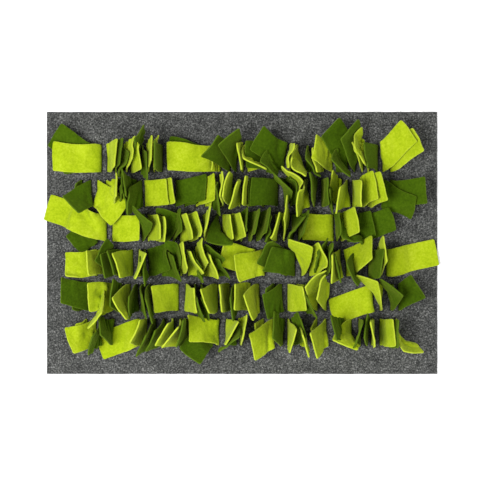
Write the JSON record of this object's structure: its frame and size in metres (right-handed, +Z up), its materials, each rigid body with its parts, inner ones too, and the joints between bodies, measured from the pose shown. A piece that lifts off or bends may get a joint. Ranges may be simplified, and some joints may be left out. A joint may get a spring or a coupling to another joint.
{
  "type": "snuffle mat",
  "caption": "Rectangular felt mat whose rows of slots hold short flat strips of fleece, which stand and lie over each other so that dry food can be hidden between them.",
  "frame": {"origin": "on the surface that the mat lies on, under the middle of the felt rectangle", "axes": "+X along the long side, to the right; +Y along the short side, to the back; +Z up out of the felt"},
  "size_m": [0.7098, 0.47, 0.0895],
  "materials": {
    "felt": "matt heather felt, dark grey with light and black fibres",
    "lime_fleece": "matt short-napped polyester fleece, lime green",
    "dark_fleece": "matt short-napped polyester fleece, dark olive green"
  },
  "bodies": {
    "root": {"felt_base": "felt", "strip_A01_dark": "dark_fleece", "strip_A02_lime": "lime_fleece", "strip_A03_dark": "dark_fleece", "strip_A04_lime": "lime_fleece", "strip_A05_dark": "dark_fleece", "strip_A06_dark": "dark_fleece", "strip_A07_lime": "lime_fleece", "strip_A08_lime": "lime_fleece", "strip_A09_dark": "dark_fleece", "strip_A10_lime": "lime_fleece", "strip_B01_dark": "dark_fleece", "strip_B02_lime": "lime_fleece", "strip_B03_dark": "dark_fleece", "strip_B04_lime": "lime_fleece", "strip_B05_dark": "dark_fleece", "strip_B06_lime": "lime_fleece", "strip_B07_lime": "lime_fleece", "strip_B08_dark": "dark_fleece", "strip_B09_lime": "lime_fleece", "strip_B10_lime": "lime_fleece", "strip_B11_dark": "dark_fleece", "strip_C01_dark": "dark_fleece", "strip_C02_lime": "lime_fleece", "strip_C03_lime": "lime_fleece", "strip_C04_lime": "lime_fleece", "strip_C05_lime": "lime_fleece", "strip_C06_dark": "dark_fleece", "strip_C07_lime": "lime_fleece", "strip_C08_lime": "lime_fleece", "strip_C09_dark": "dark_fleece", "strip_D01_lime": "lime_fleece", "strip_D02_dark": "dark_fleece", "strip_D03_lime": "lime_fleece", "strip_D04_dark": "dark_fleece", "strip_D05_lime": "lime_fleece", "strip_D06_lime": "lime_fleece", "strip_D07_lime": "lime_fleece", "strip_D08_dark": "dark_fleece", "strip_D09_lime": "lime_fleece", "strip_D10_lime": "lime_fleece", "strip_D11_lime": "lime_fleece", "strip_E01_dark": "dark_fleece", "strip_E02_lime": "lime_fleece", "strip_E03_lime": "lime_fleece", "strip_E04_lime": "lime_fleece", "strip_E05_lime": "lime_fleece", "strip_E06_lime": "lime_fleece", "strip_E07_lime": "lime_fleece", "strip_E08_lime": "lime_fleece", "strip_E09_dark": "dark_fleece", "strip_F01_lime": "lime_fleece", "strip_F02_lime": "lime_fleece", "strip_F03_dark": "dark_fleece", "strip_F04_lime": "lime_fleece", "strip_F05_dark": "dark_fleece", "strip_F06_lime": "lime_fleece", "strip_F07_lime": "lime_fleece", "strip_F08_lime": "lime_fleece", "strip_F09_lime": "lime_fleece"}
  },
  "joints": []
}
